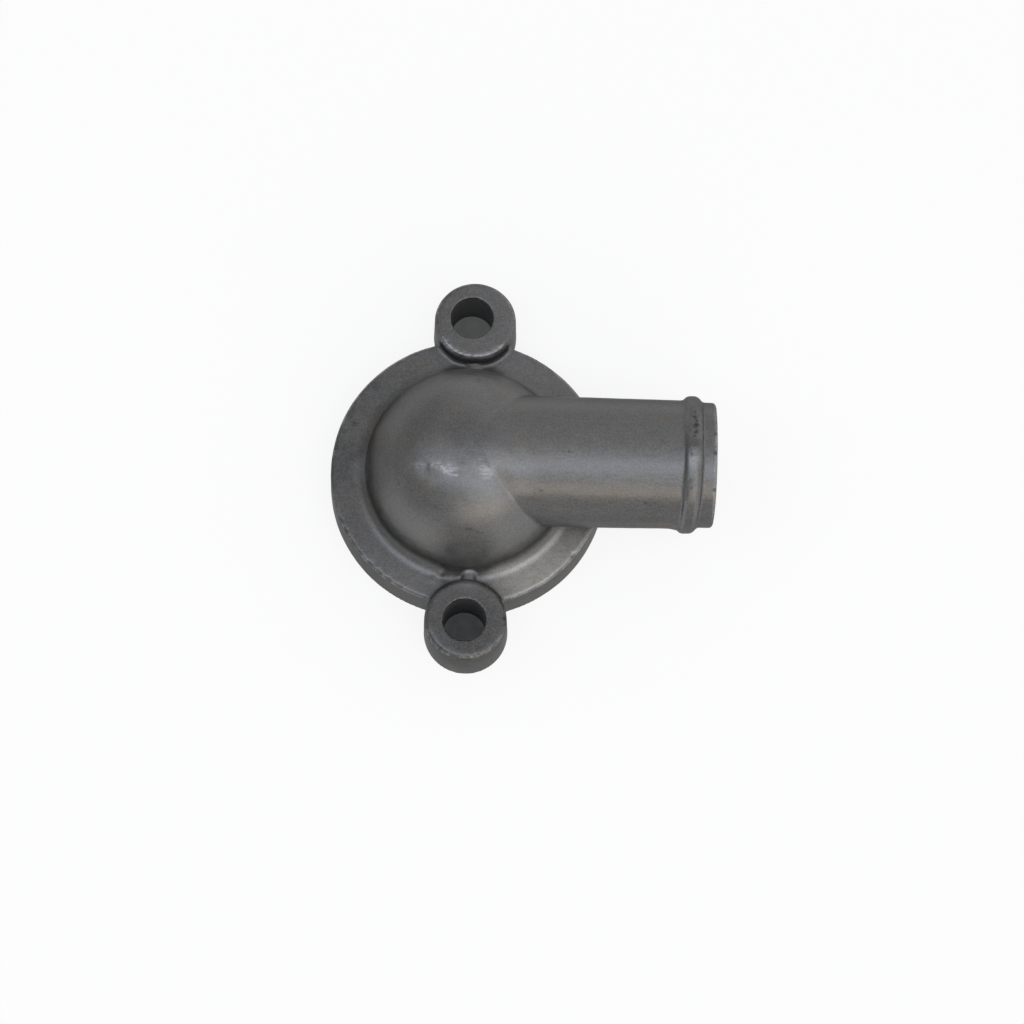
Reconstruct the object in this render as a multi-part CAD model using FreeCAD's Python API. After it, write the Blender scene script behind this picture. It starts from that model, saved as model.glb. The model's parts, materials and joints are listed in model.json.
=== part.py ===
import FreeCAD
import Part

import math
import os

# Coolant outlet casting: a round flange, a domed chamber and a hose spigot with a bead, all one solid.
# Sizes are in millimetres. The origin is the centre of the mounting face, on the axis of the flange.
# +Z points from the mounting face into the dome, +X along the spigot, and Y runs through both bolts.

# Flange, measured outwards from the foot of the dome
FLANGE_RADIUS = 29.5
FLANGE_THICKNESS = 9.4
FLANGE_DRAFT = 0.3
FLANGE_EDGE_RADIUS = 0.9
FLANGE_LEDGE_WIDTH = 5.0

# Dome, a part of a sphere that stands on a concave foot
DOME_CENTRE_RISE = 1.6
DOME_FOOT_RADIUS = 3.0
DOME_WALL = 3.0

# Bolt bosses; the holes lie just outside the rim, and each boss stands a little off its hole, as cast
BOLT_OVERHANG = 3.7
BOLT_SPACING = 2 * (FLANGE_RADIUS + BOLT_OVERHANG)
BOLT_HOLE_RADIUS = 4.5
BOLT_HOLE_CHAMFER = 0.25
BOSS_WALL = 4.4
BOSS_HEIGHT = 13.35
BOSS_DRAFT = 0.25
BOSS_EDGE_CHAMFER = 0.6
FAR_BOSS_SHIFT_X = 0.7
FAR_BOSS_SHIFT_Y = -0.6
NEAR_BOSS_SHIFT_X = 0.3
NEAR_BOSS_SHIFT_Y = 0.15

# Short half-round ribs between each boss and the dome
RIB_RADIUS = 1.5
RIB_RISE = 1.5
RIB_SHIFT_X = 0.7

# Hose spigot; its ridge runs out of the top of the dome, and its axis lies slightly to the +Y side
SPIGOT_RADIUS = 13.55
SPIGOT_DRAFT_PER_MM = 0.007
SPIGOT_CROWN_DROP = 0.14
SPIGOT_SHIFT_Y = 0.2
SPIGOT_END = 51.7
SPIGOT_WALL = 2.9

# Hose bead, with the slightly smaller tip beyond it
BEAD_START = 44.7
BEAD_WIDTH = 4.3
BEAD_RISE = 0.95
TIP_STEP = 0.35
TIP_CHAMFER = 0.6
BORE_CHAMFER = 0.4

# Thermostat seat, a shallow recess in the mounting face
SEAT_DEPTH = 3.0
SEAT_CHAMFER = 0.5
GASKET_FACE_WIDTH = 5.5

# Blends where the forms meet
SPIGOT_BLEND_RADIUS = 1.5
BOSS_BLEND_RADIUS = 1.1

# Distance under which a point counts as lying on a surface
TOUCH = 0.001

UP = FreeCAD.Vector(0, 0, 1)
ALONG = FreeCAD.Vector(1, 0, 0)
SIDES = (1, -1)


def point(x, z):
    """A point of an outline, which is drawn in the XZ plane."""
    return FreeCAD.Vector(x, 0, z)


def line(start, end):
    return Part.LineSegment(start, end).toShape()


def arc(start, centre, end):
    """The shorter arc from start to end about centre."""
    radius = (start - centre).Length
    middle = (start - centre).normalize() + (end - centre).normalize()
    return Part.Arc(start, centre + middle.normalize() * radius, end).toShape()


def turned(edges, axis):
    """A solid of revolution about an axis through the origin, with its seam half a turn from the outline."""
    solid = Part.Face(Part.Wire(edges)).revolve(point(0, 0), axis, 360)
    solid.rotate(point(0, 0), axis, 180)
    return solid


def dome_radius():
    return FLANGE_RADIUS - FLANGE_LEDGE_WIDTH - DOME_FOOT_RADIUS


def dome_centre_height():
    return FLANGE_THICKNESS + DOME_CENTRE_RISE


def spigot_inner_radius():
    """Radius of the barrel above the centre of the flange, where its draft ends."""
    return SPIGOT_RADIUS + SPIGOT_DRAFT_PER_MM * BEAD_START


def spigot_origin():
    """The point of the spigot's axis above the centre of the flange."""
    dome_top = dome_centre_height() + dome_radius()
    return FreeCAD.Vector(0, SPIGOT_SHIFT_Y, dome_top - SPIGOT_CROWN_DROP - spigot_inner_radius())


def boss_centre(side):
    """Centre of a boss on the mounting face; side is 1 towards +Y and -1 towards -Y."""
    shift_x, shift_y = NEAR_BOSS_SHIFT_X, NEAR_BOSS_SHIFT_Y
    if side > 0:
        shift_x, shift_y = FAR_BOSS_SHIFT_X, FAR_BOSS_SHIFT_Y
    return FreeCAD.Vector(shift_x, side * BOLT_SPACING / 2 + shift_y, 0)


def flange_with_dome():
    """Flange disc, concave foot and dome as one turned form."""
    rim_radius = FLANGE_RADIUS - FLANGE_DRAFT
    rim_top = point(rim_radius, FLANGE_THICKNESS - FLANGE_EDGE_RADIUS)
    edge_centre = point(rim_radius - FLANGE_EDGE_RADIUS, FLANGE_THICKNESS - FLANGE_EDGE_RADIUS)
    ledge_rim = point(edge_centre.x, FLANGE_THICKNESS)

    radius = dome_radius()
    centre = point(0, dome_centre_height())
    reach = radius + DOME_FOOT_RADIUS
    foot_rise = DOME_FOOT_RADIUS - DOME_CENTRE_RISE
    foot_centre = point(math.sqrt(reach**2 - foot_rise**2), FLANGE_THICKNESS + DOME_FOOT_RADIUS)
    ledge_foot = point(foot_centre.x, FLANGE_THICKNESS)
    dome_foot = centre + (foot_centre - centre) * (radius / reach)
    dome_top = centre + UP * radius

    edges = [
        line(point(0, 0), point(FLANGE_RADIUS, 0)),
        line(point(FLANGE_RADIUS, 0), rim_top),
        arc(rim_top, edge_centre, ledge_rim),
        line(ledge_rim, ledge_foot),
        arc(ledge_foot, foot_centre, dome_foot),
        arc(dome_foot, centre, dome_top),
        line(dome_top, point(0, 0)),
    ]
    return turned(edges, UP)


def spigot():
    """Tapered barrel with a ball end inside the dome, hose bead and a chamfered tip."""
    inner_radius = spigot_inner_radius()
    tip_radius = SPIGOT_RADIUS - TIP_STEP
    barrel_end = point(BEAD_START, SPIGOT_RADIUS)
    bead_crest = point(BEAD_START + BEAD_WIDTH / 2, SPIGOT_RADIUS + BEAD_RISE)
    bead_end = point(BEAD_START + BEAD_WIDTH, tip_radius)
    tip_corner = point(SPIGOT_END - TIP_CHAMFER, tip_radius)
    end_rim = point(SPIGOT_END, tip_radius - TIP_CHAMFER)
    edges = [
        arc(point(-inner_radius, 0), point(0, 0), point(0, inner_radius)),
        line(point(0, inner_radius), barrel_end),
        Part.Arc(barrel_end, bead_crest, bead_end).toShape(),
        line(bead_end, tip_corner),
        line(tip_corner, end_rim),
        line(end_rim, point(SPIGOT_END, 0)),
        line(point(SPIGOT_END, 0), point(-inner_radius, 0)),
    ]
    solid = turned(edges, ALONG)
    solid.translate(spigot_origin())
    return solid


def boss(side):
    """Round boss with draft and a broken top edge."""
    foot_radius = BOLT_HOLE_RADIUS + BOSS_WALL
    top_radius = foot_radius - BOSS_DRAFT
    wall_top = point(top_radius, BOSS_HEIGHT - BOSS_EDGE_CHAMFER)
    face_rim = point(top_radius - BOSS_EDGE_CHAMFER, BOSS_HEIGHT)
    edges = [
        line(point(0, 0), point(foot_radius, 0)),
        line(point(foot_radius, 0), wall_top),
        line(wall_top, face_rim),
        line(face_rim, point(0, BOSS_HEIGHT)),
        line(point(0, BOSS_HEIGHT), point(0, 0)),
    ]
    solid = turned(edges, UP)
    solid.rotate(point(0, 0), UP, -90 * side)
    solid.translate(boss_centre(side))
    return solid


def rib(side):
    """Half-round rib that lies on the ledge and runs from the dome's wall into the boss."""
    start = FreeCAD.Vector(RIB_SHIFT_X, side * dome_radius(), FLANGE_THICKNESS + RIB_RISE - RIB_RADIUS)
    length = abs(boss_centre(side).y) - BOLT_HOLE_RADIUS - BOSS_WALL / 2 - dome_radius()
    return Part.makeCylinder(RIB_RADIUS, length, start, FreeCAD.Vector(0, side, 0))


def meeting_edges(joined, first, second):
    """Edges of the joined solid that lie on the skins of both of its parts."""
    found = []
    for edge in joined.Edges:
        if edge.Length < TOUCH:
            continue
        middle = Part.Vertex(edge.valueAt((edge.FirstParameter + edge.LastParameter) / 2))
        gaps = [part.Shells[0].distToShape(middle)[0] for part in (first, second)]
        if max(gaps) < TOUCH:
            found.append(edge)
    return found


def blended(body, addition, radius):
    """The body with an addition, and a fillet where the two meet."""
    joined = body.fuse(addition).removeSplitter()
    return joined.makeFillet(radius, meeting_edges(joined, body, addition))


def outer_form():
    body = blended(flange_with_dome(), spigot(), SPIGOT_BLEND_RADIUS)
    for side in SIDES:
        body = blended(body, boss(side), BOSS_BLEND_RADIUS)
        body = body.fuse(rib(side))
    return body.removeSplitter()


def seat():
    """Recess for the rim of the thermostat, with a lead-in chamfer."""
    radius = FLANGE_RADIUS - GASKET_FACE_WIDTH
    recess = Part.makeCylinder(radius, SEAT_DEPTH)
    lead_in = Part.makeCone(radius + SEAT_CHAMFER, radius, SEAT_CHAMFER)
    return recess.fuse(lead_in)


def chamber():
    """Domed space above the seat, one wall inside the dome."""
    radius = dome_radius() - DOME_WALL
    wall = Part.makeCylinder(radius, dome_centre_height())
    roof = Part.makeSphere(radius, FreeCAD.Vector(0, 0, dome_centre_height()))
    roof.rotate(point(0, 0), UP, 180)
    lower = Part.makeCylinder(dome_radius(), dome_centre_height())
    return wall.fuse(roof.cut(lower))


def bore():
    """Round passage through the spigot, with a chamfer at its mouth."""
    radius = SPIGOT_RADIUS - SPIGOT_WALL
    mouth = spigot_origin() + ALONG * (SPIGOT_END - BORE_CHAMFER)
    passage = Part.makeCylinder(radius, SPIGOT_END, spigot_origin(), ALONG)
    lead_in = Part.makeCone(radius, radius + BORE_CHAMFER, BORE_CHAMFER, mouth, ALONG)
    return passage.fuse(lead_in)


def bolt_hole(side):
    """Drilled hole with a small chamfer at its top."""
    place = FreeCAD.Vector(0, side * BOLT_SPACING / 2, 0)
    top = place + UP * (BOSS_HEIGHT - BOLT_HOLE_CHAMFER)
    drilled = Part.makeCylinder(BOLT_HOLE_RADIUS, BOSS_HEIGHT, place)
    lead_in = Part.makeCone(BOLT_HOLE_RADIUS, BOLT_HOLE_RADIUS + BOLT_HOLE_CHAMFER, BOLT_HOLE_CHAMFER, top)
    return drilled.fuse(lead_in)


def outlet_casting():
    inside = seat().fuse([chamber(), bore()])
    return outer_form().cut([inside] + [bolt_hole(side) for side in SIDES])


os.makedirs("parts", exist_ok=True)
outlet_casting().exportStep("parts/outlet_casting.step")
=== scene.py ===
"""Looks of a cast coolant outlet: its dense casting skin, its satin grey finish and a plain photo stage."""

import json
import math

import bmesh
import bpy
import numpy as np
from bpy.props import FloatProperty, FloatVectorProperty, PointerProperty
from bpy.types import Operator, Panel, PropertyGroup
from mathutils import Matrix, Vector


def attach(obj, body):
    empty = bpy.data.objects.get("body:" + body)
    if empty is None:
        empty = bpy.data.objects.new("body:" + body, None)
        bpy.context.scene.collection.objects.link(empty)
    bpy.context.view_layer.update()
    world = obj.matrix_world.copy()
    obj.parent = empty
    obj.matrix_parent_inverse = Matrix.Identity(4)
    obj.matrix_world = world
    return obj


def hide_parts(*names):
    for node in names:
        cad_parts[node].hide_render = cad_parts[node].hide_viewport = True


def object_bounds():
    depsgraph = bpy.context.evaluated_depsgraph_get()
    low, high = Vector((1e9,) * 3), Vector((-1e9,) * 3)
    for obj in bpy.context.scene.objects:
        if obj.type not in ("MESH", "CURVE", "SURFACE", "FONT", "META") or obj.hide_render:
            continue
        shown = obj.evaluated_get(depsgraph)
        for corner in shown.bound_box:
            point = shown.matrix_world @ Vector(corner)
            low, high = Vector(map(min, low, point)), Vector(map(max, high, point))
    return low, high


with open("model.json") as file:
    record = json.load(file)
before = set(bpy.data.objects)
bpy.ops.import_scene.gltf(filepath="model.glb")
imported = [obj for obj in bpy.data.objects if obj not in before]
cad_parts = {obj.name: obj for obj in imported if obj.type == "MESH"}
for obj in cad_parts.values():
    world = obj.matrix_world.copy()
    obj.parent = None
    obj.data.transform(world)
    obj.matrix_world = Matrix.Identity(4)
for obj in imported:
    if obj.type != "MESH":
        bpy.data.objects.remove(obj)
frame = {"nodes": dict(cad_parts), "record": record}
cad_low, cad_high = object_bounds()

bl_info = {
    "name": "Coolant outlet looks",
    "version": (1, 0, 0),
    "blender": (4, 5, 0),
    "location": "3D View > Sidebar > Outlet",
    "description": "Builds the casting skin, the satin grey finish and the stage of a coolant outlet",
    "category": "Object",
}

MM = 0.001
NODE = "outlet_casting"
MOUNTS = {mount["name"]: mount for mount in frame["record"]["mounts"]}
FAR, NEAR = 1, -1

# Places of small chips, as angles in degrees around the flange and around the near boss
RIM_NICKS = (203, 208, 214, 219, 226, 231, 236, 241, 322, 170, 59)
BOSS_NICKS = (207, 214, 222, 231, 240, 252, 271, 288, 355)
# Dark marks in the photograph's frame: pixels across and down, radius in millimetres and strength
BEAD_STROKES = (
    (695.0, 412.5, 0.30, 0.6), (695.0, 417.0, 0.55, 0.9), (696.5, 420.5, 0.40, 0.9),
    (695.5, 422.5, 0.30, 0.7), (696.5, 425.0, 0.62, 1.0), (694.5, 426.5, 0.35, 0.7),
    (696.5, 428.5, 0.35, 0.6), (696.5, 432.0, 0.50, 0.8), (694.5, 436.0, 0.38, 0.6),
    (692.0, 453.5, 0.38, 0.7), (690.5, 479.5, 0.28, 0.4), (691.0, 483.0, 0.32, 0.6),
    (691.0, 488.0, 0.28, 0.5),
)
TIP_SPOTS = (
    (716.0, 434.0, 0.45, 0.8), (716.0, 446.5, 0.35, 0.5), (716.0, 453.0, 0.60, 1.0),
    (715.0, 490.0, 0.50, 0.8),
)
BARREL_SPOTS = ((569.5, 451.5, 0.32, 0.5), (645.0, 502.5, 0.36, 0.6), (541.0, 491.0, 0.40, 0.35))
DOME_SPOTS = (
    (399.0, 484.0, 0.40, 0.5), (393.5, 466.5, 0.35, 0.35), (478.5, 379.0, 0.55, 0.35),
    (478.0, 381.5, 0.45, 0.3), (466.5, 529.5, 0.35, 0.6), (470.0, 529.5, 0.34, 0.6),
    (473.0, 530.0, 0.30, 0.5), (477.5, 532.0, 0.40, 0.6), (482.0, 533.0, 0.30, 0.5),
    (429.0, 464.5, 0.50, 0.5), (428.5, 468.5, 0.45, 0.5), (426.0, 481.5, 0.45, 0.3),
    (412.0, 447.0, 0.70, 0.25),
)
FLANGE_SPOTS = (
    (352.0, 413.0, 1.10, 0.35), (354.0, 423.0, 0.80, 0.45), (351.0, 417.0, 0.45, 0.5),
    (375.0, 386.5, 1.00, 0.35), (344.5, 432.5, 0.70, 0.3),
)
BOSS_SPOTS = (
    (505.5, 618.5, 0.75, 0.9), (506.0, 624.5, 0.60, 0.7), (429.0, 638.5, 0.60, 0.7),
    (433.5, 645.5, 0.65, 0.8), (439.5, 651.0, 0.55, 0.6), (447.0, 656.0, 0.40, 0.5),
    (483.0, 655.5, 0.40, 0.4),
)
DARK_MARKS = BEAD_STROKES + TIP_SPOTS + BARREL_SPOTS + DOME_SPOTS + FLANGE_SPOTS + BOSS_SPOTS
# Painted glints on the dome and the bead, in the same form
PAINTED_GLINTS = (
    (411.0, 465.0, 0.75, 0.5), (417.0, 465.0, 0.80, 0.7), (423.0, 465.0, 0.75, 0.7),
    (432.0, 464.0, 0.85, 0.8), (438.0, 464.5, 0.85, 0.9), (441.0, 467.0, 0.75, 0.9),
    (446.0, 469.5, 0.85, 1.0), (451.0, 472.0, 0.85, 1.0), (455.5, 474.0, 0.70, 0.8),
    (450.0, 466.5, 0.75, 0.7), (455.0, 467.5, 0.75, 0.7), (481.0, 462.0, 1.20, 0.5),
    (484.0, 467.0, 1.50, 0.6), (487.0, 471.0, 1.50, 0.8), (491.0, 474.0, 1.00, 0.7),
    (486.0, 474.5, 1.10, 0.7), (695.0, 451.0, 1.10, 0.60), (695.0, 459.0, 1.10, 0.65),
)
# Small swellings and hollows of the cast skin: pixels across and down, radius and height in millimetres
WRINKLES = (
    (412.5, 465.5, 1.5, 0.10), (425.0, 471.0, 1.2, -0.09), (440.0, 466.5, 1.4, 0.12),
    (450.5, 472.0, 1.2, -0.08), (460.0, 468.0, 1.3, 0.12), (474.0, 472.0, 1.6, -0.10),
    (487.0, 467.5, 1.6, 0.14), (500.5, 486.5, 2.6, -0.10), (516.5, 472.0, 2.2, 0.06),
    (440.5, 573.0, 0.8, 0.22), (445.5, 578.0, 0.8, -0.20), (434.0, 579.0, 0.9, 0.16),
)
# Painted highlight along the far boss's rim and rubbed places on the near boss's rim: angles in degrees
# around the far and the near boss
FAR_RIM_HIGHLIGHT = (218, 226, 234, 243, 252, 261, 270, 279, 288, 297, 306, 314)
NEAR_RUB = (206, 214, 221, 229, 237, 246, 255, 263, 270, 278, 287, 296, 304, 313, 322, 331)
# Painted light and shade on the skin, as x, y, z, radius in millimetres and how much painted shade, painted
# light where below zero
LIGHT_AND_SHADE_PATCHES = (
    (0.3, -34.0, 13.4, 15.0, 0.36), (0.7, 32.6, 13.4, 13.0, 0.08), (0.3, -21.3, 15.5, 7.0, -0.70),
    (-19.0, -2.0, 21.0, 10.0, 0.20), (-9.0, -3.5, 30.0, 8.0, -0.14), (7.0, -8.0, 29.5, 9.0, -0.14),
    (0.0, 2.5, 32.3, 6.5, 0.16), (0.0, 20.0, 18.5, 7.5, -0.22), (0.0, 11.5, 29.0, 6.0, -0.08),
    (-21.8, 0.0, 12.0, 5.0, -0.40), (-27.0, 1.0, 9.4, 8.0, 0.12), (46.9, 0.6, 33.0, 2.4, 0.26),
    (46.9, -2.9, 32.8, 2.4, -0.28), (46.9, 9.0, 29.6, 3.5, 0.12),
)
# Painted shade grows along this direction, between these distances in millimetres
SHADE_WAY = (-0.97, 0.24, 0.0)
SHADE_START, SHADE_END = 2.0, 26.0
# Painted shade where the skin faces this way, on the near flanks
SHADE_FACING = (0.0, -0.903, 0.43)
# How much the clouds, blotches and streaks, and how much the grain, vary the tone
UNEVEN_TONE, GRAIN_TONE = 0.16, 0.80
# Middle and reach in millimetres of the painted warm light on the ledge
LEDGE_LIGHT_PLACE = (18.0, -20.0, 9.4)
LEDGE_LIGHT_RADIUS = 17.0
# Longest and shortest wave in millimetres, and number of waves, of the broad and the short unevenness
SWELL_WAVES, RIPPLE_WAVES = (26.0, 9.0, 22), (5.0, 2.2, 40)
# Reaches in millimetres at which the shelter of a place is measured, and their weights
SHELTER_REACHES = ((0.7, 0.35), (1.8, 0.35), (4.0, 0.30))
# Bends in one over millimetres from which an edge is worn a little and worn fully
GENTLE_BEND, SHARP_BEND = 0.25, 1.05
# Radius in millimetres of one place on a boss rim, a painted highlight on the far boss and rubbed wear on the
# near, and strength on the far and the near boss
RIM_SPOT_RADIUS, FAR_RIM_HIGHLIGHT_STRENGTH, NEAR_RUB_STRENGTH = 1.05, 1.0, 0.12
# Skin around a mark, in millimetres, that gets the marked finish
MARK_MARGIN = 1.6
# The photograph's camera: angles in degrees, where it looks in millimetres, focal length and width in pixels
CAMERA_ELEVATION, CAMERA_TURN, CAMERA_ROLL = 74.824, 1.747, -3.139
CAMERA_AIM = (-9.462, 6.040, -805.6)
FOCAL_PIXELS, IMAGE_WIDTH = 3743.66, 1024
# Lamps: name, colour setting, direction, width and depth in metres, and how bright the face looks
LAMPS = (
    ("overhead_lamp", "lamp", (-0.10, -0.36, 1), 2.4, 0.58, 1.40),
    ("side_lamp", "side_lamp", (0.30, -0.88, 0.45), 1.1, 0.42, 1.45),
)
LAMP_DISTANCE = 1.2
# Floor: half its side, its gap under the part, and the core and rim of its painted shadows under the bolt
# holes, in metres
FLOOR_HALF, FLOOR_GAP = 3.0, 0.05 * MM
PATCH_CORE, PATCH_RIM = 4.8 * MM, 5.4 * MM
# Strength of the painted shadow under the far and the near bolt hole
FAR_PATCH_STRENGTH, NEAR_PATCH_STRENGTH = 0.965, 1.0


def millimetres(name, value, description):
    return FloatProperty(name=name, description=description, default=value * MM, unit="LENGTH", precision=5)


def tint(name, value, description):
    return FloatVectorProperty(name=name, description=description, default=value, subtype="COLOR", size=3)


def share(name, value, description):
    return FloatProperty(name=name, description=description, default=value, min=0, max=1, subtype="FACTOR")


class CastingSizes(PropertyGroup):
    flange_thickness: millimetres("Flange thickness", 9.4, "Height of the ledge above the mounting face")
    flange_draft: millimetres("Flange draft", 0.3, "How far the rim leans in over its height")
    flange_edge: millimetres("Flange edge", 0.9, "Radius of the upper edge of the flange")
    ledge_width: millimetres("Ledge width", 5.0, "Flat ledge from the rim to the foot of the dome")
    dome_foot: millimetres("Dome foot", 3.0, "Radius of the concave foot of the dome")
    dome_rise: millimetres("Dome rise", 1.6, "Height of the dome's centre above the ledge")
    dome_wall: millimetres("Dome wall", 3.0, "Wall between the dome and the chamber")
    boss_wall: millimetres("Boss wall", 4.4, "Wall around a bolt hole at the foot of the boss")
    boss_height: millimetres("Boss height", 13.35, "Height of the boss above the mounting face")
    boss_draft: millimetres("Boss draft", 0.25, "How far a boss leans in over its height")
    boss_edge: millimetres("Boss edge", 1.15, "Radius of the upper edge of a boss")
    far_shift_x: millimetres("Far boss shift X", 0.7, "Casting offset of the far boss along X")
    far_shift_y: millimetres("Far boss shift Y", -0.6, "Casting offset of the far boss along Y")
    near_shift_x: millimetres("Near boss shift X", 0.3, "Casting offset of the near boss along X")
    near_shift_y: millimetres("Near boss shift Y", 0.15, "Casting offset of the near boss along Y")
    hole_edge: millimetres("Hole edge", 0.30, "Radius of the rim of a bolt hole")
    rib_radius: millimetres("Rib radius", 1.5, "Radius of the rib between a boss and the dome")
    rib_shift: millimetres("Rib shift", 0.7, "Offset of both ribs along X")
    spigot_radius: millimetres("Spigot radius", 13.55, "Radius of the barrel just behind the bead")
    spigot_inner: millimetres("Spigot inner radius", 13.863, "Radius of the barrel above the flange centre")
    spigot_wall: millimetres("Spigot wall", 2.9, "Wall of the barrel just behind the bead")
    bead_start: millimetres("Bead start", 44.7, "Distance of the bead from the flange axis")
    bead_width: millimetres("Bead width", 4.3, "Width of the hose bead")
    bead_rise: millimetres("Bead rise", 0.95, "Height of the bead above the barrel")
    bead_shoulder: millimetres("Bead shoulder", 1.4, "Radius of the bead's shoulder towards the barrel")
    bead_front: millimetres("Bead front", 1.82, "Radius of the bead's shoulder towards the tip")
    bead_crown: millimetres("Bead crown", 0.32, "How much the bead's crest is rounded")
    bead_foot: millimetres("Bead foot", 0.3, "Radius of the valleys on both sides of the bead")
    bead_slip: millimetres("Bead slip", 0.55, "How far the bead leans back on the near side")
    tip_step: millimetres("Tip step", 0.35, "How much smaller the tip is than the barrel")
    tip_edge: millimetres("Tip edge", 0.8, "Radius of the outer edge of the tip")
    seat_depth: millimetres("Seat depth", 3.0, "Depth of the recess in the mounting face")
    seat_chamfer: millimetres("Seat chamfer", 0.5, "Lead-in of the recess")
    spigot_blend: millimetres("Spigot blend", 1.5, "Fillet between the spigot, the dome and the flange")
    ledge_blend: millimetres("Ledge blend", 0.6, "Fillet between the spigot and the flat ledge")
    boss_blend: millimetres("Boss blend", 1.1, "Fillet around the foot of a boss")
    rib_blend: millimetres("Rib blend", 0.5, "Fillet along the ribs")
    inner_blend: millimetres("Inner blend", 0.8, "Fillet where the bore leaves the chamber")
    parting_line: millimetres("Parting line", 0.09, "Height of the mould line along the spigot")
    parting_width: millimetres("Parting width", 0.45, "Half the width of the mould line")
    bead_flash: millimetres("Bead flash", 0.45, "Thickness of the flash behind the bead")
    flash_length: millimetres("Flash length", 1.1, "How far the flash reaches along the spigot")
    flash_width: millimetres("Flash width", 4.0, "How far the flash reaches up and down")
    swell: millimetres("Swell", 0.030, "Height of the broad unevenness of the cast skin")
    ripple: millimetres("Ripple", 0.006, "Height of the short unevenness of the cast skin")
    inner_edge: millimetres("Inner edge", 0.45, "Radius of the edges of the underside, the seat and the bore")
    mesh_step: millimetres("Mesh step", 0.49, "Edge length of the skin's mesh")


class CastingFinish(PropertyGroup):
    metal: tint("Metal", (0.178, 0.178, 0.177), "Satin grey of the cast skin")
    # Also the colour of the painted glints and of the boss rim marks
    brown: tint("Stain", (0.182, 0.168, 0.148), "Warm stain on parts of the skin")
    worn: tint("Worn edge", (0.36, 0.36, 0.36), "Bare metal where an edge is rubbed")
    # Darker colour in the sheltered valleys
    valley_dark: tint("Grime", (0.060, 0.060, 0.058), "Dirt in the valleys")
    mark: tint("Mark", (0.022, 0.021, 0.019), "Dark spots and strokes")
    grazing: tint("Grazing tint", (0.30, 0.30, 0.30), "How much the skin reflects at a grazing angle")
    machined: tint("Machined", (0.30, 0.30, 0.29), "Faced surfaces")
    drilled: tint("Drilled", (0.30, 0.30, 0.30), "Walls of the bolt holes")
    metallic: share("Metallic", 0.85, "How metallic the cast skin is")
    # Colour of the painted warm light on part of the ledge
    bright: tint("Bright side", (0.39, 0.372, 0.338), "Cleaner, warmer skin on part of the ledge")
    roughness: share("Roughness", 0.39, "Roughness of the cast skin")
    # Painted shade on the side away from the spigot
    far_end_shade: share("Dull end", 0.24, "How much duller the skin is on the side away from the spigot")
    # Painted shade on the near flanks
    flank_shade: share("Dull flank", 0.30, "How much duller the skin is on its near flanks")
    stained: share("Stained", 0.55, "Strength of the warm stains")
    # Strength of the painted warm light on the ledge
    ledge_light_strength: share("Cleaned", 0.90, "Strength of the cleaner skin on the ledge")
    # Strength of the darker colour in the sheltered valleys
    valley_darkening: share("Dirty", 0.30, "Strength of the dirt in the valleys")
    rubbed: share("Rubbed", 0.70, "Strength of the rubbed edges")
    glint_and_rub_strength: share("Scratched", 0.72, "Strength of the bright scratches")
    # Strength of the painted glints and of the boss rim marks
    marked: share("Marked", 0.85, "Strength of the dark spots and strokes")
    grain_height: millimetres("Grain height", 0.035, "Height of the fine casting grain")


class StageSettings(PropertyGroup):
    floor: tint("Floor", (1.0, 1.0, 1.0), "Pale floor")
    shade: tint("Shaded floor", (0.046, 0.047, 0.048), "Floor seen through the bolt holes")
    glow: share("Floor glow", 0.85, "Share of the floor's white that no shadow darkens")
    sky: tint("Sky", (0.60, 0.60, 0.605), "Soft light from all round")
    lamp: tint("Lamp", (0.79, 0.85, 1.0), "Large lamp overhead")
    side_lamp: tint("Side lamp", (1.0, 0.86, 0.68), "Low warm lamp")


class Socket:
    """A node tree's socket in Python expressions; numbers add Math nodes, vectors and colours Vector Math."""

    def __init__(self, tree, socket):
        self.tree = tree
        self.socket = socket

    def _with(self, operation, other, swapped=False):
        first, second = (other, self) if swapped else (self, other)
        if not (is_vector(first) or is_vector(second)):
            return node(self.tree, "Math", {"operation": operation}, {0: first, 1: second})
        sides = [spread(part) for part in (first, second)]
        return node(self.tree, "VectorMath", {"operation": operation}, {0: sides[0], 1: sides[1]})

    def __add__(self, other):
        return self._with("ADD", other)

    def __radd__(self, other):
        return self._with("ADD", other, True)

    def __sub__(self, other):
        return self._with("SUBTRACT", other)

    def __rsub__(self, other):
        return self._with("SUBTRACT", other, True)

    def __mul__(self, other):
        return self._with("MULTIPLY", other)

    def __rmul__(self, other):
        return self._with("MULTIPLY", other, True)


def is_vector(part):
    """Whether a socket or value holds a vector or a colour, and not one number."""
    if isinstance(part, Socket):
        return part.socket.type in ("VECTOR", "RGBA")
    return not isinstance(part, (int, float))


def spread(part):
    """A number as three equal components; anything else as it is."""
    return (part, part, part) if isinstance(part, (int, float)) else part


def node(tree, kind, settings=None, values=None, output=0):
    """Adds a shader node, sets what it is, then its sockets by place or name, and returns one output."""
    made = tree.nodes.new("ShaderNode" + kind)
    for name, value in (settings or {}).items():
        setattr(made, name, value)
    for key, value in (values or {}).items():
        target = made.inputs[key]
        if isinstance(value, Socket):
            tree.links.new(value.socket, target)
        else:
            target.default_value = value
    return Socket(tree, made.outputs[output])


def mixed(tree, factor, first, second):
    """A colour that goes from the first to the second."""
    made = tree.nodes.new("ShaderNodeMix")
    made.data_type = "RGBA"
    for place, value in ((0, factor), (6, first), (7, second)):
        if isinstance(value, Socket):
            tree.links.new(value.socket, made.inputs[place])
        else:
            made.inputs[place].default_value = value if place == 0 else (*value, 1)
    return Socket(tree, made.outputs[2])


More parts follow.
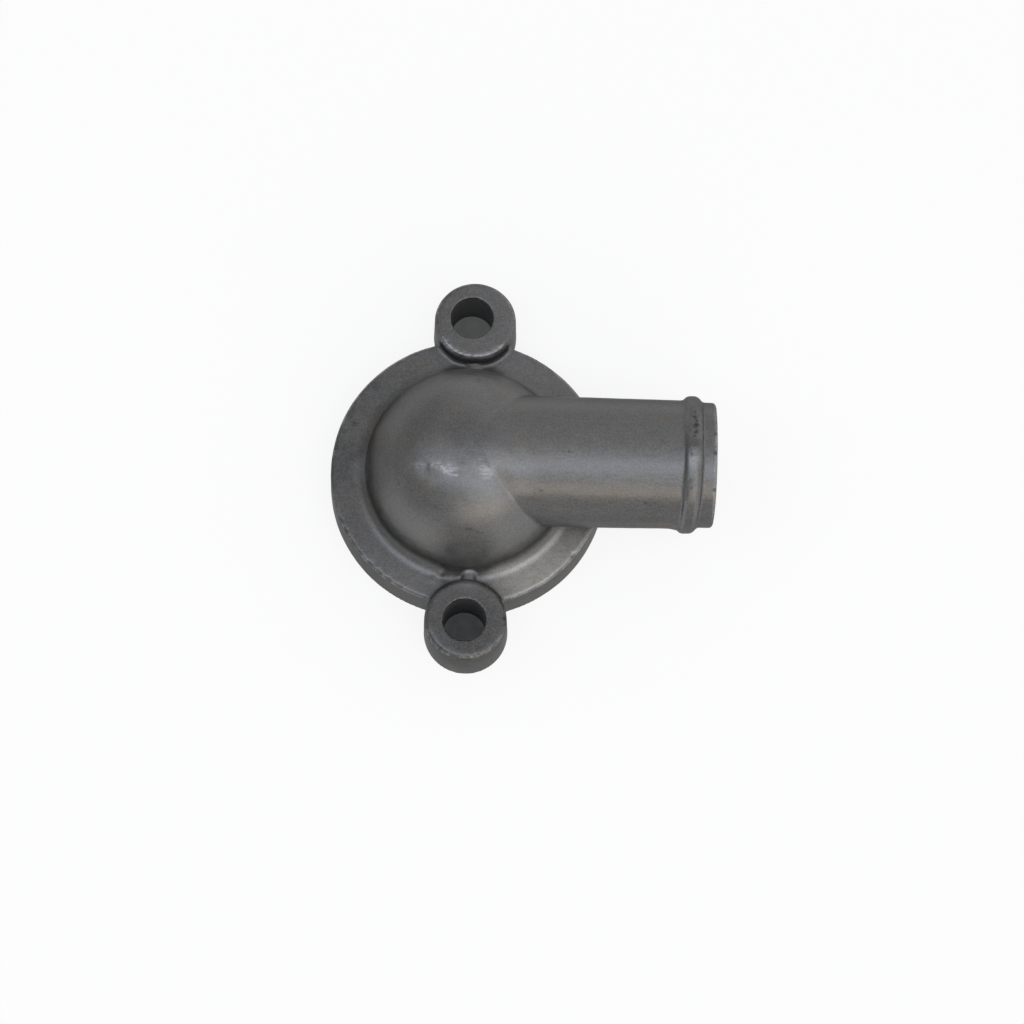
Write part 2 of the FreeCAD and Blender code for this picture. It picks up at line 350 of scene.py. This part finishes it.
def stepped(tree, value, low, high):
    """Rises smoothly from 0 at low to 1 at high; low may be the larger one."""
    settings = {"interpolation_type": "SMOOTHSTEP", "clamp": True}
    if low < high:
        return node(tree, "MapRange", settings, {0: value, 1: low, 2: high, 3: 0.0, 4: 1.0})
    return node(tree, "MapRange", settings, {0: value, 1: high, 2: low, 3: 1.0, 4: 0.0})


def noise(tree, place, scale, detail=2.0, roughness=0.5):
    settings = {"noise_dimensions": "3D"}
    values = {"Vector": place, "Scale": scale, "Detail": detail, "Roughness": roughness}
    return node(tree, "TexNoise", settings, values)


def distance(tree, place, other):
    return node(tree, "VectorMath", {"operation": "DISTANCE"}, {0: place, 1: other}, "Value")


def dot(tree, vector, direction):
    return node(tree, "VectorMath", {"operation": "DOT_PRODUCT"}, {0: vector, 1: direction}, "Value")


def spots(tree, place, marks):
    """A mask of round spots; place is in millimetres."""
    total = None
    for spot_place, radius, strength in marks:
        spot = stepped(tree, distance(tree, place, spot_place), radius * 1.5, radius * 0.2) * strength
        total = spot if total is None else node(tree, "Math", {"operation": "MAXIMUM"}, {0: total, 1: spot})
    return total


def slope(form, points, step=0.5e-6):
    """Values of a form at the points, and its gradient there."""
    value = form(points)
    rises = [(form(points + step * axis) - value) / step for axis in np.eye(3)]
    return value, np.stack(rises, axis=1)


def blended(first, second, radius):
    """Union of two skins with a rolling-ball fillet; each skin is its distances and its normals."""
    (value_a, normal_a), (value_b, normal_b) = first, second
    cosine = np.clip((normal_a * normal_b).sum(axis=1), -0.999, 0.999)
    reach_a, reach_b = value_a - radius, value_b - radius
    square = (reach_a**2 + reach_b**2 - 2 * reach_a * reach_b * cosine) / (1 - cosine**2)
    in_fillet = (reach_a < reach_b * cosine) & (reach_b < reach_a * cosine)
    value = np.where(in_fillet, radius - np.sqrt(square), np.minimum(value_a, value_b))
    normal = np.where((value_a < value_b)[:, None], normal_a, normal_b)
    return value, normal


def merged(first, second, radius):
    """Union of two skins with a fillet, for skins that meet at a wide angle."""
    reach = np.hypot(np.maximum(radius - first, 0), np.maximum(radius - second, 0))
    return np.maximum(np.minimum(first, second), radius) - reach


def cut(body, tool, radius):
    """The body less the tool, with the edge between them rounded."""
    reach = np.hypot(np.maximum(body + radius, 0), np.maximum(radius - tool, 0))
    return np.minimum(np.maximum(body, -tool), -radius) + reach


def circle_places(centre, radius, z, angles):
    """Points on a level circle at the given angles in degrees."""
    turns = [math.radians(angle) for angle in angles]
    return [(centre[0] + radius * math.cos(turn), centre[1] + radius * math.sin(turn), z) for turn in turns]


def photo_view():
    """How the photograph's camera is turned, and where it stands."""
    tilt = Matrix.Rotation(math.radians(CAMERA_ELEVATION - 90), 3, "X")
    turn = Matrix.Rotation(math.radians(CAMERA_TURN), 3, "Z")
    into_view = Matrix.Rotation(math.radians(CAMERA_ROLL), 3, "Z") @ tilt @ turn
    out_of_view = into_view.transposed()
    return out_of_view, out_of_view @ -Vector(CAMERA_AIM) * MM


def seen_places(form, pixels):
    """Where the photograph's pixels lie on a form, found by following their rays down to it."""
    turned, start = photo_view()
    across, down = (np.array(pixels) - IMAGE_WIDTH / 2).T / FOCAL_PIXELS
    rays = np.stack((across, -down, np.full(len(across), -1.0)), axis=1) @ np.array(turned).T
    rays /= np.linalg.norm(rays, axis=1)[:, None]
    places = np.array(start) + rays * ((cad_high.z - start.z) / rays[:, 2])[:, None]
    for _ in range(60):
        places = places + rays * (0.8 * form(places))[:, None]
    return places


def hump(gap, width):
    """A bell curve of height 1 over a gap of 0."""
    return np.exp(-((gap / width) ** 2))


class Casting:
    """Distances in metres from points to the skin of the casting; below zero is inside the metal."""

    def __init__(self, size):
        self.size = size
        self.flange_radius = -cad_low.x
        self.end = cad_high.x
        self.hole_radius = MOUNTS["flange_bolts"]["dims"]["hole_r_mm"] * MM
        self.bolt_distance = MOUNTS["flange_bolts"]["dims"]["spacing_y_mm"] * MM / 2
        self.seat_radius = MOUNTS["thermostat_seat"]["dims"]["r_mm"] * MM
        self.axis_y = MOUNTS["hose_spigot"]["pos_m"][1]
        self.axis_z = cad_high.z - size.spigot_radius - size.bead_rise
        self.dome_radius = self.flange_radius - size.ledge_width - size.dome_foot
        self.dome_centre = size.flange_thickness + size.dome_rise
        self.waves = self.random_waves(np.random.default_rng(7))
        self.wrinkles = seen_places(self.plain, [wrinkle[:2] for wrinkle in WRINKLES])

    def random_waves(self, random):
        """Plane waves in random directions, whose sum is an unevenness without a pattern."""
        waves = []
        for height, kind in ((self.size.swell, SWELL_WAVES), (self.size.ripple, RIPPLE_WAVES)):
            longest, shortest, count = kind
            direction = random.normal(size=(count, 3))
            direction /= np.linalg.norm(direction, axis=1)[:, None]
            length = random.uniform(shortest * MM, longest * MM, count)
            turn = random.uniform(0, 2 * math.pi, count)
            waves.append((height * math.sqrt(2 / count), direction * (2 * math.pi / length)[:, None], turn))
        return waves

    def boss_centre(self, side):
        size = self.size
        if side == FAR:
            return size.far_shift_x, self.bolt_distance + size.far_shift_y
        return size.near_shift_x, -self.bolt_distance + size.near_shift_y

    def flange_with_dome(self, points):
        size = self.size
        out, z = np.hypot(points[:, 0], points[:, 1]), points[:, 2]
        side = out - self.flange_radius + size.flange_draft * z / size.flange_thickness
        disc = cut(side, size.flange_thickness - z, size.flange_edge)
        dome = np.hypot(out, z - self.dome_centre) - self.dome_radius
        reach = self.dome_radius + size.dome_foot
        foot_z = size.flange_thickness + size.dome_foot
        foot_out = math.sqrt(reach**2 - (foot_z - self.dome_centre) ** 2)
        across, down = foot_out - out, foot_z - z
        in_foot = (across > 0) & (down * foot_out > across * (foot_z - self.dome_centre))
        return np.where(in_foot, size.dome_foot - np.hypot(across, down), np.minimum(disc, dome))

    def around_spigot(self, points):
        """Place along the spigot's axis, distance from it, and how far round towards +Y, from -1 to 1."""
        y, z = points[:, 1] - self.axis_y, points[:, 2] - self.axis_z
        out = np.hypot(y, z)
        return points[:, 0], out, y / np.maximum(out, MM)

    def spigot(self, points):
        size = self.size
        along, out, lateral = self.around_spigot(points)
        half = size.bead_width / 2
        middle = size.bead_start + half
        taper = (size.spigot_inner - size.spigot_radius) / size.bead_start
        barrel = np.maximum(out - size.spigot_inner + taper * along, along - middle)
        tip = np.maximum(out - size.spigot_radius + size.tip_step, size.bead_start - along)
        ball = np.hypot(out, along) - size.spigot_inner
        smooth = np.where(along < 0, ball, np.minimum(barrel, tip))

        crest = middle - size.bead_slip * np.clip(-lateral, 0, 1) ** 3
        shoulder = np.where(along < crest, size.bead_shoulder, size.bead_front)
        across = np.abs(along - crest) - half + shoulder
        rise = out - size.spigot_radius - size.bead_rise + shoulder
        rise = rise + size.bead_crown * ((along - crest) / half) ** 2
        bead = np.hypot(np.maximum(across, 0), np.maximum(rise, 0)) - shoulder
        bead = bead + np.minimum(np.maximum(across, rise), 0)
        return cut(merged(smooth, bead, size.bead_foot), self.end - along, size.tip_edge)

    def boss(self, points, side):
        size = self.size
        centre_x, centre_y = self.boss_centre(side)
        out = np.hypot(points[:, 0] - centre_x, points[:, 1] - centre_y)
        lean = size.boss_draft * points[:, 2] / size.boss_height
        wall = out - self.hole_radius - size.boss_wall + lean
        return cut(wall, size.boss_height - points[:, 2], size.boss_edge)

    def rib(self, points, side):
        size = self.size
        start, end = self.dome_radius - size.rib_radius, self.bolt_distance - self.hole_radius
        along = side * points[:, 1]
        beyond = along - np.clip(along, start, end)
        across, rise = points[:, 0] - size.rib_shift, points[:, 2] - size.flange_thickness
        return np.sqrt(across**2 + beyond**2 + rise**2) - size.rib_radius

    def cavity(self, points):
        """Seat, chamber and bore as one hollow."""
        size = self.size
        out, z = np.hypot(points[:, 0], points[:, 1]), points[:, 2]
        wall = np.where(z < self.dome_centre, out, np.hypot(out, z - self.dome_centre))
        chamber = wall - self.dome_radius + size.dome_wall
        along, around, _ = self.around_spigot(points)
        bore = np.maximum(around - size.spigot_radius + size.spigot_wall, -along)
        lead_in = (out - self.seat_radius - size.seat_chamfer + z) / math.sqrt(2)
        seat_wall = merged(out - self.seat_radius, lead_in, size.inner_edge)
        seat = cut(seat_wall, size.seat_depth - z, size.inner_edge)
        return merged(merged(chamber, bore, size.inner_blend), seat, size.inner_edge)

    def hole(self, points, side):
        return np.hypot(points[:, 0], points[:, 1] - side * self.bolt_distance) - self.hole_radius

    def nearer_hole(self, points):
        return np.minimum(self.hole(points, FAR), self.hole(points, NEAR))

    def solid(self, points):
        """The outer form without its hollows and its faced underside."""
        size = self.size
        above_ledge = np.clip((points[:, 2] - size.flange_thickness) / MM - 1, 0, 3) / 3
        blend = size.ledge_blend + (size.spigot_blend - size.ledge_blend) * above_ledge
        body = blended(slope(self.flange_with_dome, points), slope(self.spigot, points), blend)
        for side in (FAR, NEAR):
            boss = slope(lambda places: self.boss(places, side), points)
            body = blended(body, boss, size.boss_blend)
        value = body[0]
        for side in (FAR, NEAR):
            value = merged(value, self.rib(points, side), size.rib_blend)
        return value

    def plain(self, points):
        """The casting as designed, before the unevenness of its skin."""
        size = self.size
        value = cut(self.solid(points), self.cavity(points), size.inner_edge)
        for side in (FAR, NEAR):
            value = cut(value, self.hole(points, side), size.hole_edge)
        return cut(value, points[:, 2], size.inner_edge)

    def cast_share(self, points):
        """How freely the skin may be uneven: 1 outside, fading to 0 on drilled and faced surfaces."""
        fade = np.clip(self.nearer_hole(points) / MM, 0, 1) * np.clip(points[:, 2] / MM, 0, 1)
        return fade * np.clip((self.cavity(points) - 0.2 * MM) / MM, 0, 1)

    def relief(self, points):
        """Height of the skin above the designed form."""
        size = self.size
        height = np.zeros(len(points))
        for amount, directions, turns in self.waves:
            for direction, turn in zip(directions, turns):
                height += amount * np.sin(points @ direction + turn)
        for place, (*_, radius, rise) in zip(self.wrinkles, WRINKLES):
            gap = np.linalg.norm(points - place, axis=1)
            height += rise * MM * hump(gap, radius * MM)
        along, out, lateral = self.around_spigot(points)
        level = points[:, 2] - self.axis_z
        on_barrel = np.clip((along - self.flange_radius) / (3 * MM), 0, 1)
        on_barrel *= np.clip((out - size.spigot_radius + MM) / MM, 0, 1)
        height += size.parting_line * hump(level, size.parting_width) * on_barrel
        behind_bead = hump(along - size.bead_start + 0.4 * MM, size.flash_length) * (lateral < 0)
        height += size.bead_flash * behind_bead * hump(level + MM, size.flash_width) * on_barrel
        return height * self.cast_share(points) - self.nicks(points)

    def nicks(self, points):
        """Depth of the small chips along the rims, at angles around the flange or the near boss."""
        size = self.size
        random = np.random.default_rng(11)
        depth = np.zeros(len(points))
        rim = self.flange_radius - size.flange_draft - 0.25 * size.flange_edge
        places = circle_places((0, 0), rim, size.flange_thickness, RIM_NICKS)
        for place in places + self.boss_rim(NEAR, BOSS_NICKS):
            gap = np.linalg.norm(points - np.array(place), axis=1)
            depth += random.uniform(0.10, 0.24) * MM * hump(gap, random.uniform(0.45, 0.85) * MM)
        return depth

    def boss_rim(self, side, angles):
        """Places on the upper edge of a boss."""
        size = self.size
        radius = self.hole_radius + size.boss_wall - size.boss_draft - 0.25 * size.boss_edge
        return circle_places(self.boss_centre(side), radius, size.boss_height, angles)

    def skin(self, points):
        return self.plain(points) - self.relief(points)


def edge_ends(mesh):
    """Both vertices of each edge, one after the other."""
    ends = np.empty(len(mesh.edges) * 2, np.int64)
    mesh.edges.foreach_get("vertices", ends)
    return ends


def neighbour_mean(mesh, points):
    """Mean of the neighbours of each vertex."""
    ends = edge_ends(mesh)
    first, second = ends.reshape(-1, 2).T
    count = np.bincount(ends, minlength=len(points))
    total = np.empty_like(points)
    for axis in range(3):
        total[:, axis] = np.bincount(first, points[second, axis], len(points))
        total[:, axis] += np.bincount(second, points[first, axis], len(points))
    return total / count[:, None]


def bend(mesh, points, normals):
    """How sharply the skin bends outwards at each vertex, as one over a radius in metres."""
    mean = neighbour_mean(mesh, points)
    ends = edge_ends(mesh)
    first, second = ends.reshape(-1, 2).T
    length = ((points[first] - points[second]) ** 2).sum(axis=1)
    spacing = np.bincount(first, length, len(points)) + np.bincount(second, length, len(points))
    spacing /= np.bincount(ends, minlength=len(points))
    sharp = 4 * ((points - mean) * normals).sum(axis=1) / spacing
    return neighbour_mean(mesh, np.repeat(sharp[:, None], 3, axis=1))[:, 0]


def onto_skin(form, points, rounds):
    """Moves the points along the gradient until they lie on the skin, and gives the skin's normals."""
    limit = 0.3 * MM
    for _ in range(rounds):
        value, rise = slope(form, points)
        steepness = np.maximum((rise**2).sum(axis=1), 0.25)
        points = points - rise * np.clip(value / steepness, -limit, limit)[:, None]
    return points, rise / np.linalg.norm(rise, axis=1)[:, None]


def remeshed(source, name, step):
    """A closed mesh of even squares around the solid of a CAD object."""
    # A face that lies on a plane of the grid comes out ragged, so the solid is lifted for the remeshing
    lift = Vector((0, 0, step / 4))
    welded = bmesh.new()
    welded.from_mesh(source.data)
    bmesh.ops.remove_doubles(welded, verts=welded.verts, dist=1e-6)
    bmesh.ops.translate(welded, verts=welded.verts, vec=lift)
    solid = bpy.data.meshes.new(name)
    welded.to_mesh(solid)
    welded.free()
    carrier = bpy.data.objects.new(name, solid)
    bpy.context.scene.collection.objects.link(carrier)
    remesh = carrier.modifiers.new("Even squares", "REMESH")
    remesh.mode = "VOXEL"
    remesh.voxel_size = step
    evaluated = carrier.evaluated_get(bpy.context.evaluated_depsgraph_get())
    mesh = bpy.data.meshes.new_from_object(evaluated)
    mesh.transform(Matrix.Translation(-lift))
    mesh.name = name
    bpy.data.objects.remove(carrier)
    return mesh


def fitted_skin(casting, source, name, step):
    """The remeshed solid with every vertex on the skin of the casting, and the skin's normals there."""
    mesh = remeshed(source, name, step)
    points = np.empty(len(mesh.vertices) * 3)
    mesh.vertices.foreach_get("co", points)
    points = points.reshape(-1, 3)
    points, normals = onto_skin(casting.plain, points, 4)
    for _ in range(4):
        pull = neighbour_mean(mesh, points) - points
        pull -= normals * (pull * normals).sum(axis=1)[:, None]
        points, normals = onto_skin(casting.plain, points + 0.6 * pull, 1)
    points, normals = onto_skin(casting.skin, points, 3)
    points = np.clip(points, cad_low, cad_high)
    mesh.vertices.foreach_set("co", points.ravel())
    mesh.update()
    return mesh, points, normals


def note_wear(mesh, casting, points, normals):
    """Keeps on each vertex how sheltered and how exposed it is, and whether it was machined or drilled."""
    shelter = np.zeros(len(points))
    for reach, weight in SHELTER_REACHES:
        gap = casting.plain(points + normals * reach * MM) / (reach * MM)
        shelter += weight * np.clip(1 - gap, 0, 1)
    as_cast = casting.cast_share(points)
    worn = (bend(mesh, points, normals) * MM - GENTLE_BEND) / (SHARP_BEND - GENTLE_BEND)
    exposed = np.clip(worn, 0, 1) * as_cast
    machined = 1 - as_cast
    machined[points[:, 2] > casting.size.seat_depth + 0.1 * MM] = 0
    drilled = casting.nearer_hole(points) < 0.15 * MM
    drilled &= (points[:, 2] < casting.size.boss_height - 0.5 * MM) & (points[:, 2] > 0.3 * MM)
    layers = {"shelter": shelter, "exposed": exposed, "machined": machined, "drilled": drilled}
    for name, values in layers.items():
        layer = mesh.attributes.new(name, "FLOAT", "POINT")
        layer.data.foreach_set("value", values.astype(np.float32))


def seen_marks(casting, marks):
    """Marks read from the photograph, each as its place on the skin in millimetres, radius and strength."""
    places = seen_places(casting.skin, [mark[:2] for mark in marks]) / MM
    return [(tuple(place), *mark[2:]) for place, mark in zip(places, marks)]


def rim_wear_and_highlight(casting, side, angles, strength):
    """Places on the upper edge of a boss, in the form of marks: the far boss's are a painted highlight, the
    near boss's rubbed wear.
    """
    places, _ = onto_skin(casting.skin, np.array(casting.boss_rim(side, angles)), 12)
    return [(tuple(place / MM), RIM_SPOT_RADIUS, strength) for place in places]


def satin_metal(name, finish, marks, glints_and_rim_wear):
    """Cast skin: satin grey, grainy, stained in places, rubbed at its edges and dark in its valleys, with
    painted shade on its far end and near flanks, painted light and shade in patches, painted warm light on
    part of the ledge and painted glints.
    """
    material = bpy.data.materials.new(name)
    material.use_nodes = True
    tree = material.node_tree
    shader = tree.nodes["Principled BSDF"]

    place = node(tree, "TexCoord", output="Object") * (1 / MM)
    shelter, exposed, machined, drilled = [
        node(tree, "Attribute", {"attribute_name": name}, output="Fac")
        for name in ("shelter", "exposed", "machined", "drilled")
    ]

    cloud = noise(tree, place, 0.11, 3.0) - 0.5
    blotch = noise(tree, place + 40.0, 0.45, 3.0) - 0.5
    streak = noise(tree, place * (0.35, 1.5, 1.5), 1.1, 2.0) - 0.5
    grain = noise(tree, place, 2.6, 2.0, 0.6) - 0.5

    # Painted shade towards the side away from the spigot
    painted_shading = stepped(tree, dot(tree, place, SHADE_WAY), SHADE_START, SHADE_END) * finish.far_end_shade
    facing = node(tree, "TexCoord", output="Normal")
    # Painted shade on the flanks that face the near side
    painted_shading = painted_shading + stepped(tree, dot(tree, facing, SHADE_FACING), 0.92, 0.995) * finish.flank_shade
    # Painted shade in patches, and painted light where the amount is below zero
    for *patch, reach, amount in LIGHT_AND_SHADE_PATCHES:
        painted_shading = painted_shading + stepped(tree, distance(tree, place, patch), reach, reach * 0.3) * amount
    tone = 1.0 + (cloud + blotch + streak) * UNEVEN_TONE + grain * GRAIN_TONE - painted_shading
    colour = tone * finish.metal
    stain = stepped(tree, noise(tree, place + 17.0, 0.16, 2.0), 0.48, 0.74) * finish.stained
    colour = mixed(tree, stain, colour, tone * finish.brown)
    # Painted warm light on the level ledge towards the near right
    ledge_light_gap = distance(tree, place, LEDGE_LIGHT_PLACE) + blotch * 6.0
    level = stepped(tree, dot(tree, facing, (0, 0, 1)), 0.80, 0.99)
    ledge_light = stepped(tree, ledge_light_gap, LEDGE_LIGHT_RADIUS, LEDGE_LIGHT_RADIUS * 0.35) * level * finish.ledge_light_strength
    colour = mixed(tree, ledge_light, colour, tone * finish.bright)
    # Darker in the sheltered valleys
    valley = stepped(tree, shelter + blotch * 0.25, 0.22, 0.80) * finish.valley_darkening
    colour = mixed(tree, valley, colour, finish.valley_dark)
    rub = stepped(tree, exposed * 0.8 + cloud + blotch * 0.6 + grain * 0.5, 0.50, 1.0) * finish.rubbed
    colour = mixed(tree, rub, colour, finish.worn)
    faced = stepped(tree, machined, 0.55, 0.95)
    colour = mixed(tree, faced, colour, finish.machined)
    colour = mixed(tree, drilled, colour, finish.drilled)
    dark, bright = 0.0, 0.0
    if marks:
        torn = place + noise_vector(tree, place, 1.3) * 0.9
        broken = stepped(tree, noise(tree, place * (0.5, 1.6, 1.6), 1.5), 0.34, 0.58)
        # Painted glints and the boss rim marks, in the worn-edge colour
        bright = spots(tree, torn, glints_and_rim_wear) * broken * finish.glint_and_rub_strength
        colour = mixed(tree, bright, colour, finish.worn)
        dark = spots(tree, torn, marks) * finish.marked
        colour = mixed(tree, dark, colour, finish.mark)
    tree.links.new(colour.socket, shader.inputs["Base Color"])
    shader.inputs["Specular Tint"].default_value = (*finish.grazing, 1)

    roughness = finish.roughness + cloud * 0.10 + blotch * 0.14 + grain * 0.16
    roughness = roughness + valley * 0.25 + dark * 0.30 - rub * 0.10 - faced * 0.14
    roughness = roughness - bright * 0.08
    tree.links.new(roughness.socket, shader.inputs["Roughness"])
    metallic = finish.metallic - dark * 0.75 - valley * 0.45 - stain * 0.12
    tree.links.new(metallic.socket, shader.inputs["Metallic"])

    height = grain + streak * 0.4
    rough_skin = 1.0 - faced * 0.8
    bump = {"Strength": 1.0, "Distance": finish.grain_height, "Height": height * rough_skin}
    tree.links.new(node(tree, "Bump", values=bump).socket, shader.inputs["Normal"])
    return material


def noise_vector(tree, place, scale):
    """A random shift in each direction, from about -0.5 to 0.5."""
    values = {"Vector": place, "Scale": scale, "Detail": 1.0}
    return node(tree, "TexNoise", {"noise_dimensions": "3D"}, values, "Color") - 0.5


def note_marks(mesh, marks):
    """Gives the marked finish to the faces around the marks, and the plain one to the rest."""
    centres = np.empty(len(mesh.polygons) * 3)
    mesh.polygons.foreach_get("center", centres)
    centres = centres.reshape(-1, 3)
    near = np.zeros(len(centres), bool)
    for place, radius, _ in marks:
        gap = np.linalg.norm(centres - np.array(place) * MM, axis=1)
        near |= gap < (radius + MARK_MARGIN) * MM
    mesh.polygons.foreach_set("material_index", near.astype(np.int32))


class OUTLET_OT_casting(Operator):
    """Builds the dense skin of the casting in place of the plain solid"""

    bl_idname = "outlet.casting"
    bl_label = "Casting"

    def execute(self, context):
        casting = Casting(context.scene.casting_sizes)
        step = context.scene.casting_sizes.mesh_step
        mesh, points, normals = fitted_skin(casting, frame["nodes"][NODE], "casting_skin", step)
        note_wear(mesh, casting, points, normals)
        mesh.shade_smooth()
        mesh.normals_split_custom_set_from_vertices(normals)
        mesh.materials.clear()
        marks = seen_marks(casting, DARK_MARKS)
        # Painted glints, then the painted highlight on the far boss's rim and rubbed places on the near
        # boss's rim
        glints_and_rim_wear = seen_marks(casting, PAINTED_GLINTS)
        glints_and_rim_wear += rim_wear_and_highlight(casting, FAR, FAR_RIM_HIGHLIGHT, FAR_RIM_HIGHLIGHT_STRENGTH)
        glints_and_rim_wear += rim_wear_and_highlight(casting, NEAR, NEAR_RUB, NEAR_RUB_STRENGTH)
        finish = context.scene.casting_finish
        mesh.materials.append(satin_metal("satin_cast_metal", finish, (), ()))
        mesh.materials.append(satin_metal("marked_cast_metal", finish, marks, glints_and_rim_wear))
        note_marks(mesh, marks + glints_and_rim_wear)
        piece = bpy.data.objects.new("casting_skin", mesh)
        context.scene.collection.objects.link(piece)
        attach(piece, "root")
        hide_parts(NODE)
        return {"FINISHED"}


def stage_camera(scene):
    """The photograph's view."""
    turned, place = photo_view()
    data = bpy.data.cameras.new("photo_camera")
    data.lens = FOCAL_PIXELS * data.sensor_width / IMAGE_WIDTH
    camera = bpy.data.objects.new("photo_camera", data)
    camera.matrix_world = Matrix.Translation(place) @ turned.to_4x4()
    scene.collection.objects.link(camera)
    scene.camera = camera


def area_lamp(scene, name, colour, direction, width, depth, radiance):
    """A rectangular lamp that faces the origin."""
    data = bpy.data.lights.new(name, "AREA")
    data.shape = "RECTANGLE"
    data.size, data.size_y = width, depth
    data.energy = radiance * width * depth * math.pi
    data.color = colour
    lamp = bpy.data.objects.new(name, data)
    away = Vector(direction).normalized()
    lamp.location = away * LAMP_DISTANCE
    lamp.rotation_euler = away.to_track_quat("Z", "Y").to_euler()
    scene.collection.objects.link(lamp)


def soft_sky(settings):
    """Light from all round, a little brighter from above and from the spigot's side."""
    world = bpy.data.worlds.new("soft_sky")
    world.use_nodes = True
    tree = world.node_tree
    towards = node(tree, "TexCoord", output="Generated")
    lean = dot(tree, towards, (0.42, 0.04, 0.10))
    colour = (0.92 + lean) * settings.sky
    tree.links.new(colour.socket, tree.nodes["Background"].inputs["Color"])
    return world


def pale_floor(settings, hole_shadows):
    """White floor, with a painted shadow in two small patches that show only through the bolt holes."""
    material = bpy.data.materials.new("pale_floor")
    material.use_nodes = True
    tree = material.node_tree
    tree.nodes.remove(tree.nodes["Principled BSDF"])
    place = node(tree, "NewGeometry", output="Position")
    colour = settings.floor
    # Painted shadow on the floor under the bolt holes, mottled by noise
    shade = (noise(tree, place, 300.0) + 0.5) * settings.shade
    for middle, strength in hole_shadows:
        patch = stepped(tree, distance(tree, place, middle), PATCH_RIM, PATCH_CORE) * strength
        colour = mixed(tree, patch, colour, shade)
    matt = {"Specular IOR Level": 0.0, "Roughness": 1.0}
    diffuse = node(tree, "BsdfPrincipled", values={**matt, "Base Color": colour})
    black = {**matt, "Base Color": (0, 0, 0, 1)}
    glow = node(tree, "BsdfPrincipled", values={**black, "Emission Color": colour, "Emission Strength": 1.0})
    seen = None
    for ray in ("Is Camera Ray", "Is Glossy Ray", "Is Transmission Ray"):
        kind = node(tree, "LightPath", output=ray)
        seen = kind if seen is None else node(tree, "Math", {"operation": "MAXIMUM"}, {0: seen, 1: kind})
    lit = node(tree, "MixShader", values={0: seen * settings.glow, 1: diffuse, 2: glow})
    below = node(tree, "NewGeometry", output="Backfacing")
    floor = node(tree, "MixShader", values={0: below, 1: lit, 2: node(tree, "BsdfTransparent")})
    tree.links.new(floor.socket, tree.nodes["Material Output"].inputs["Surface"])
    return material


class OUTLET_OT_stage(Operator):
    """Adds the pale floor, the soft lamps, the sky and the camera"""

    bl_idname = "outlet.stage"
    bl_label = "Stage"

    def execute(self, context):
        scene = context.scene
        settings = scene.stage_settings
        casting = Casting(scene.casting_sizes)
        corners = [(x * FLOOR_HALF, y * FLOOR_HALF, 0) for x, y in ((-1, -1), (1, -1), (1, 1), (-1, 1))]
        plane = bpy.data.meshes.new("floor")
        plane.from_pydata(corners, [], [(0, 1, 2, 3)])
        floor = bpy.data.objects.new("floor", plane)
        floor.location.z = -FLOOR_GAP
        scene.collection.objects.link(floor)
        hole_shadows = [
            ((0, side * casting.bolt_distance, -FLOOR_GAP), strength)
            for side, strength in ((FAR, FAR_PATCH_STRENGTH), (NEAR, NEAR_PATCH_STRENGTH))
        ]
        plane.materials.append(pale_floor(settings, hole_shadows))

        for name, colour, *shape in LAMPS:
            area_lamp(scene, name, getattr(settings, colour), *shape)
        scene.world = soft_sky(settings)
        scene.view_settings.view_transform = "Standard"
        stage_camera(scene)
        return {"FINISHED"}


class OUTLET_PT_panel(Panel):
    """Lists the steps and their settings in the sidebar"""

    bl_label = "Coolant outlet"
    bl_space_type = "VIEW_3D"
    bl_region_type = "UI"
    bl_category = "Outlet"

    def draw(self, context):
        for step in STEPS:
            self.layout.operator(step.bl_idname)
        for holder in SETTINGS:
            settings = getattr(context.scene, holder)
            for name in settings.__annotations__:
                self.layout.prop(settings, name)


STEPS = (OUTLET_OT_casting, OUTLET_OT_stage)
SETTINGS = {"casting_sizes": CastingSizes, "casting_finish": CastingFinish, "stage_settings": StageSettings}
CLASSES = (*SETTINGS.values(), *STEPS, OUTLET_PT_panel)


def register():
    for made in CLASSES:
        bpy.utils.register_class(made)
    for holder, group in SETTINGS.items():
        setattr(bpy.types.Scene, holder, PointerProperty(type=group))


def unregister():
    for holder in SETTINGS:
        delattr(bpy.types.Scene, holder)
    for made in reversed(CLASSES):
        bpy.utils.unregister_class(made)


def main():
    register()
    bpy.ops.outlet.casting()
    bpy.ops.outlet.stage()


if __name__ == "__main__":
    main()
